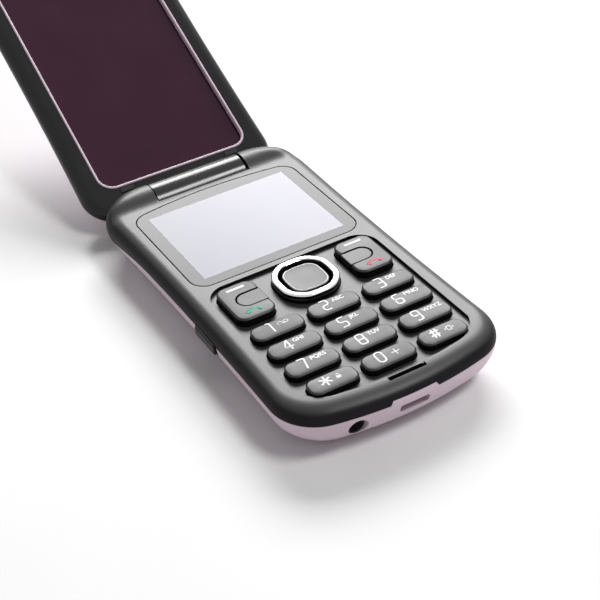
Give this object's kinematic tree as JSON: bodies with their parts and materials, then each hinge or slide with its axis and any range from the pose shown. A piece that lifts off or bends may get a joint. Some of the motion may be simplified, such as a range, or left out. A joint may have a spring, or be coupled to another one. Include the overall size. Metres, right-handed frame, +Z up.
{
  "type": "flip phone",
  "caption": "Clamshell mobile phone lying open: display and number keys in the base, plain fold-over cover with an earpiece, on a barrel hinge.",
  "frame": {"origin": "middle of the flat back of the base, on the surface the phone lies on", "axes": "+Z up out of the keypad face, +Y along the phone towards the hinge and the opened cover, +X to the right when the keypad is read"},
  "size_m": [0.0518, 0.1782, 0.0473],
  "materials": {
    "dark_shell": "satin dark grey",
    "pale_shell": "satin pale pinkish white",
    "black_gloss": "glossy black",
    "dark_panel": "glossy dark maroon black",
    "lens_glass": "polished, lightly tinted",
    "display": "pale lavender white, lit",
    "key_grey": "satin charcoal",
    "select_grey": "satin grey",
    "bright_ring": "polished",
    "inner_plastic": "matt black",
    "board": "green lacquer",
    "mat_rubber": "matt",
    "steel": "brushed",
    "contact_brass": "plated",
    "cell": "matt film",
    "pad_rubber": "matt"
  },
  "bodies": {
    "base": {"front_shell": "dark_shell", "rear_cover": "pale_shell", "mid_frame": "inner_plastic", "main_board": "board", "display_lens": "lens_glass", "lcd_module": "display", "keypad_mat": "mat_rubber", "dome_sheet": "steel", "battery": "cell", "battery_contacts": "contact_brass", "sim_holder": "steel", "loudspeaker": "inner_plastic", "vibration_motor": "steel", "microphone": "steel", "antenna": "contact_brass", "camera_module": "inner_plastic", "camera_window": "lens_glass", "usb_socket": "steel", "audio_jack": "inner_plastic", "side_switch": "inner_plastic", "soft_key_tongues": "key_grey", "hinge_cartridge": "steel", "hinge_tube": "steel"},
    "cover": {"flap_frame": "black_gloss", "flap_shell": "pale_shell", "flap_bead": "pale_shell", "flap_panel": "dark_panel", "earpiece": "inner_plastic", "earpiece_mesh": "steel", "flap_magnet": "steel", "flap_bumpers": "pad_rubber", "hinge_shaft": "steel"},
    "key_1_body": {"key_1": "key_grey"},
    "key_2_body": {"key_2": "key_grey"},
    "key_3_body": {"key_3": "key_grey"},
    "key_4_body": {"key_4": "key_grey"},
    "key_5_body": {"key_5": "key_grey"},
    "key_6_body": {"key_6": "key_grey"},
    "key_7_body": {"key_7": "key_grey"},
    "key_8_body": {"key_8": "key_grey"},
    "key_9_body": {"key_9": "key_grey"},
    "key_star_body": {"key_star": "key_grey"},
    "key_0_body": {"key_0": "key_grey"},
    "key_hash_body": {"key_hash": "key_grey"},
    "select_key_body": {"select_key": "select_grey"},
    "rocker_left_body": {"rocker_left": "key_grey"},
    "rocker_right_body": {"rocker_right": "key_grey"},
    "nav_ring_body": {"nav_ring": "bright_ring"},
    "side_key_body": {"side_key": "black_gloss"}
  },
  "joints": [
    {"name": "flap_hinge", "type": "hinge", "parent": "base", "child": "cover", "pos_m": [0, 0.04385, 0.0084], "axis": [1, 0, 0], "range_deg": [0, 152]},
    {"name": "key_1_press", "type": "slide", "parent": "base", "child": "key_1_body", "axis": [0, 0, -1], "range_m": [0, 0.0003], "stiffness_N_per_m": 2000},
    {"name": "key_2_press", "type": "slide", "parent": "base", "child": "key_2_body", "axis": [0, 0, -1], "range_m": [0, 0.0003], "stiffness_N_per_m": 2000},
    {"name": "key_3_press", "type": "slide", "parent": "base", "child": "key_3_body", "axis": [0, 0, -1], "range_m": [0, 0.0003], "stiffness_N_per_m": 2000},
    {"name": "key_4_press", "type": "slide", "parent": "base", "child": "key_4_body", "axis": [0, 0, -1], "range_m": [0, 0.0003], "stiffness_N_per_m": 2000},
    {"name": "key_5_press", "type": "slide", "parent": "base", "child": "key_5_body", "axis": [0, 0, -1], "range_m": [0, 0.0003], "stiffness_N_per_m": 2000},
    {"name": "key_6_press", "type": "slide", "parent": "base", "child": "key_6_body", "axis": [0, 0, -1], "range_m": [0, 0.0003], "stiffness_N_per_m": 2000},
    {"name": "key_7_press", "type": "slide", "parent": "base", "child": "key_7_body", "axis": [0, 0, -1], "range_m": [0, 0.0003], "stiffness_N_per_m": 2000},
    {"name": "key_8_press", "type": "slide", "parent": "base", "child": "key_8_body", "axis": [0, 0, -1], "range_m": [0, 0.0003], "stiffness_N_per_m": 2000},
    {"name": "key_9_press", "type": "slide", "parent": "base", "child": "key_9_body", "axis": [0, 0, -1], "range_m": [0, 0.0003], "stiffness_N_per_m": 2000},
    {"name": "key_star_press", "type": "slide", "parent": "base", "child": "key_star_body", "axis": [0, 0, -1], "range_m": [0, 0.0003], "stiffness_N_per_m": 2000},
    {"name": "key_0_press", "type": "slide", "parent": "base", "child": "key_0_body", "axis": [0, 0, -1], "range_m": [0, 0.0003], "stiffness_N_per_m": 2000},
    {"name": "key_hash_press", "type": "slide", "parent": "base", "child": "key_hash_body", "axis": [0, 0, -1], "range_m": [0, 0.0003], "stiffness_N_per_m": 2000},
    {"name": "select_key_press", "type": "slide", "parent": "base", "child": "select_key_body", "axis": [0, 0, -1], "range_m": [0, 0.0003], "stiffness_N_per_m": 2000},
    {"name": "rocker_left_tilt", "type": "hinge", "parent": "base", "child": "rocker_left_body", "pos_m": [-0.01465, -0.00741, 0.0093], "axis": [1, 0, 0], "range_deg": [-1.5, 1.5], "stiffness_Nm_per_rad": 0.25},
    {"name": "rocker_right_tilt", "type": "hinge", "parent": "base", "child": "rocker_right_body", "pos_m": [0.01465, -0.00741, 0.0093], "axis": [1, 0, 0], "range_deg": [-1.5, 1.5], "stiffness_Nm_per_rad": 0.25},
    {"name": "nav_ring_tilt", "type": "hinge", "parent": "base", "child": "nav_ring_body", "pos_m": [0, -0.00741, 0.0093], "axis": [1, 0, 0], "range_deg": [-1.5, 1.5], "stiffness_Nm_per_rad": 0.25},
    {"name": "side_key_press", "type": "slide", "parent": "base", "child": "side_key_body", "axis": [1, 0, 0], "range_m": [0, 0.0003], "stiffness_N_per_m": 2000}
  ]
}
